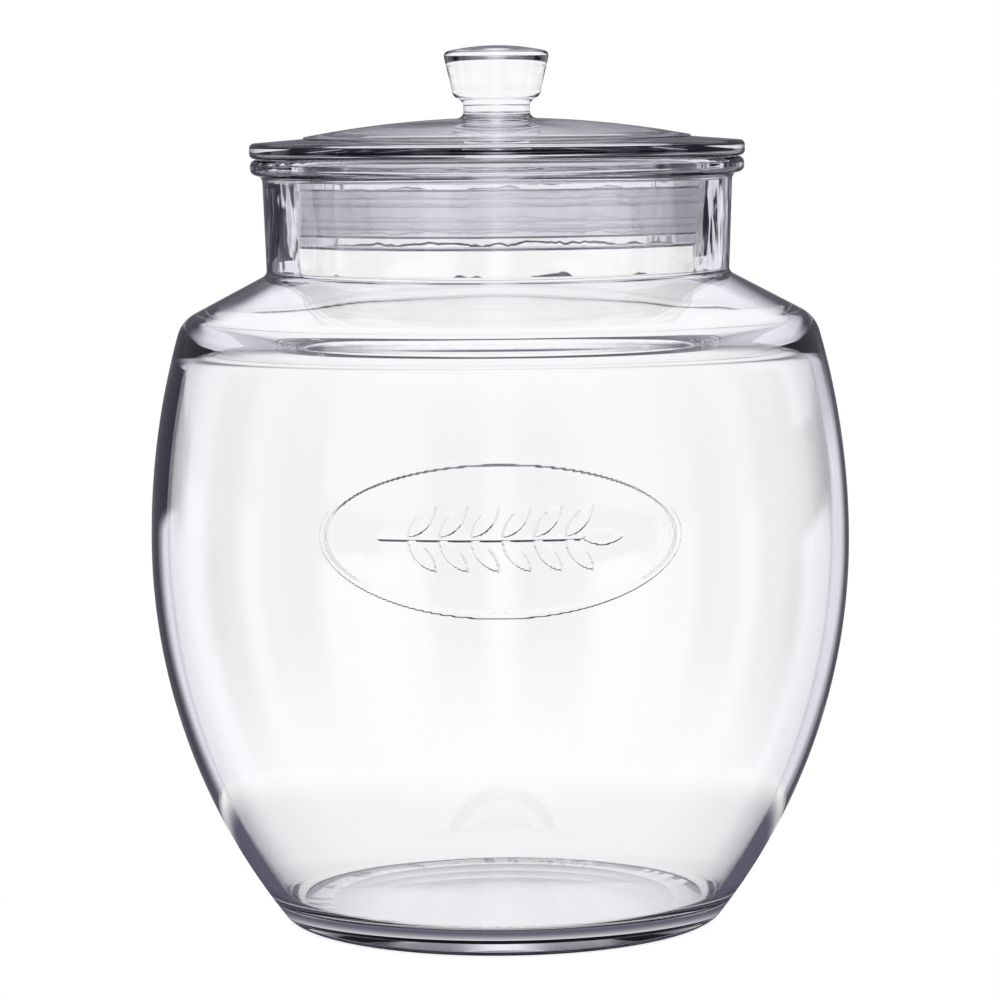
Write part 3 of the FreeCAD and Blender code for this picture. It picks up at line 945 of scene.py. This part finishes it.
def floor_material(finishes, studio):
    """Pale and glowing to the camera; glass shows it white, with a painted shade ring in its
    reflections.
    """
    material, g = new_material("studio_floor")
    path = g.node("ShaderNodeLightPath").outputs
    diffuse = g.node("ShaderNodeBsdfDiffuse", Color=rgba(finishes.floor))
    strength = Term(g, path["Is Camera Ray"]) * studio.floor_glow
    glow = g.node("ShaderNodeEmission", Color=WHITE, Strength=strength)
    lit = g.node("ShaderNodeAddShader", i0=diffuse.outputs[0], i1=glow.outputs[0])
    place = g.node("ShaderNodeTexCoord").outputs["Object"]
    axes = g.node("ShaderNodeSeparateXYZ", Vector=place).outputs
    x, y = Term(g, axes["X"]), Term(g, axes["Y"])
    reach = g.maths("SQRT", x * x + y * y)
    # Painted shade: a dark ring round the foot, only for light the glass has reflected.
    ring = reach.ramp(studio.ring_start, studio.ring_start + studio.ring_rise)
    ring = ring * reach.ramp(studio.floor_radius, studio.floor_radius - studio.ring_fade)
    ring = ring * g.maths("MINIMUM", Term(g, path["Glossy Depth"]), 1.0)
    tone = mixed(g, ring, WHITE, rgba(finishes.floor_ring_shade))
    clear = g.node("ShaderNodeEmission", Color=tone, Strength=1.0)
    both = g.node("ShaderNodeMixShader", i0=inside_glass(g, path), i1=lit.outputs[0],
                  i2=clear.outputs[0])
    g.node("ShaderNodeOutputMaterial", Surface=both.outputs[0])
    return material


# ---------------------------------------------------------------- operators

def finish_piece(piece, node):
    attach(piece, BODY)
    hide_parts(node)


class JAR_OT_make_jar(Operator):
    """Make the glass jar with its raised badge"""
    bl_idname = "jar.make_jar"
    bl_label = "Make jar"

    def execute(self, context):
        scene = context.scene
        sizes, badge = scene.jar_sizes, scene.badge_sizes
        rows = jar_section(sizes, badge)
        neck = sizes.height - sizes.lip_thickness - sizes.neck_length
        knee = neck - sizes.shoulder_rise
        finishes, ripples = scene.jar_finishes, scene.jar_ripples
        finish = glass_material("clear_glass", finishes.glass, finishes.glass_index,
                                lambda g: jar_waves(g, ripples, knee, neck))
        piece = turn("jar_glass", rows, jar_angles(sizes, badge), finish)
        press_badge(piece.data, sizes, badge)
        finish_piece(piece, "jar")
        return {"FINISHED"}


class JAR_OT_make_lid(Operator):
    """Make the glass lid with its collar and knob"""
    bl_idname = "jar.make_lid"
    bl_label = "Make lid"

    def execute(self, context):
        scene = context.scene
        rows = lid_section(scene.jar_sizes, scene.lid_sizes, scene.seal_sizes)
        finishes, ripples = scene.jar_finishes, scene.jar_ripples
        finish = glass_material("lid_glass", finishes.lid_glass, finishes.glass_index,
                                lambda g: lid_waves(g, ripples))
        piece = turn("lid_glass", rows, even_angles(LID_STEP), finish)
        set_normals(piece.data, read_vectors(piece.data, "outward"))
        finish_piece(piece, "lid")
        return {"FINISHED"}


class JAR_OT_make_seal(Operator):
    """Make the ribbed silicone seal round the lid's collar"""
    bl_idname = "jar.make_seal"
    bl_label = "Make seal"

    def execute(self, context):
        scene = context.scene
        rows = seal_section(scene.jar_sizes, scene.lid_sizes, scene.seal_sizes)
        finish = silicone_material(scene.jar_finishes, scene.jar_ripples)
        piece = turn("silicone_seal", rows, even_angles(LID_STEP), finish)
        set_normals(piece.data, read_vectors(piece.data, "outward"))
        finish_piece(piece, "seal")
        return {"FINISHED"}


class JAR_OT_make_studio(Operator):
    """Make the floor, the light and the camera"""
    bl_idname = "jar.make_studio"
    bl_label = "Make studio"

    def execute(self, context):
        scene = context.scene
        studio, finishes = scene.studio_sizes, scene.jar_finishes
        scene.view_settings.view_transform = "Standard"
        scene.world = studio_world(finishes, studio)
        disc = bmesh.new()
        bmesh.ops.create_circle(disc, cap_ends=True, segments=FLOOR_SIDES,
                                radius=studio.floor_radius)
        mesh = bpy.data.meshes.new("floor")
        disc.to_mesh(mesh)
        disc.free()
        mesh.materials.append(floor_material(finishes, studio))
        floor = bpy.data.objects.new("floor", mesh)
        scene.collection.objects.link(floor)
        camera = bpy.data.objects.new("camera", bpy.data.cameras.new("camera"))
        camera.data.lens = studio.lens
        camera.location = (0.0, -studio.distance, studio.eye_height)
        lean = Euler((math.pi / 2 - studio.pitch, 0.0, 0.0)).to_matrix()
        camera.rotation_euler = (lean @ Euler((0.0, 0.0, -studio.roll)).to_matrix()).to_euler()
        scene.collection.objects.link(camera)
        scene.camera = camera
        return {"FINISHED"}


class JAR_PT_tools(Panel):
    """Lists the steps that make the jar"""
    bl_label = "Storage jar"
    bl_idname = "JAR_PT_tools"
    bl_space_type = "VIEW_3D"
    bl_region_type = "UI"
    bl_category = "Jar"

    def draw(self, context):
        for operator in OPERATORS:
            self.layout.operator(operator.bl_idname)


GROUPS = {"jar_sizes": JarSizes, "badge_sizes": BadgeSizes, "lid_sizes": LidSizes,
          "seal_sizes": SealSizes, "jar_finishes": Finishes, "jar_ripples": Ripples,
          "studio_sizes": StudioSizes}
OPERATORS = (JAR_OT_make_studio, JAR_OT_make_jar, JAR_OT_make_lid, JAR_OT_make_seal)


def register():
    for group in GROUPS.values():
        bpy.utils.register_class(group)
    for operator in OPERATORS:
        bpy.utils.register_class(operator)
    bpy.utils.register_class(JAR_PT_tools)
    for name, group in GROUPS.items():
        setattr(bpy.types.Scene, name, PointerProperty(type=group))


def unregister():
    for name in GROUPS:
        delattr(bpy.types.Scene, name)
    bpy.utils.unregister_class(JAR_PT_tools)
    for operator in reversed(OPERATORS):
        bpy.utils.unregister_class(operator)
    for group in reversed(list(GROUPS.values())):
        bpy.utils.unregister_class(group)


def main():
    register()
    bpy.ops.jar.make_studio()
    bpy.ops.jar.make_jar()
    bpy.ops.jar.make_lid()
    bpy.ops.jar.make_seal()


if __name__ == "__main__":
    main()
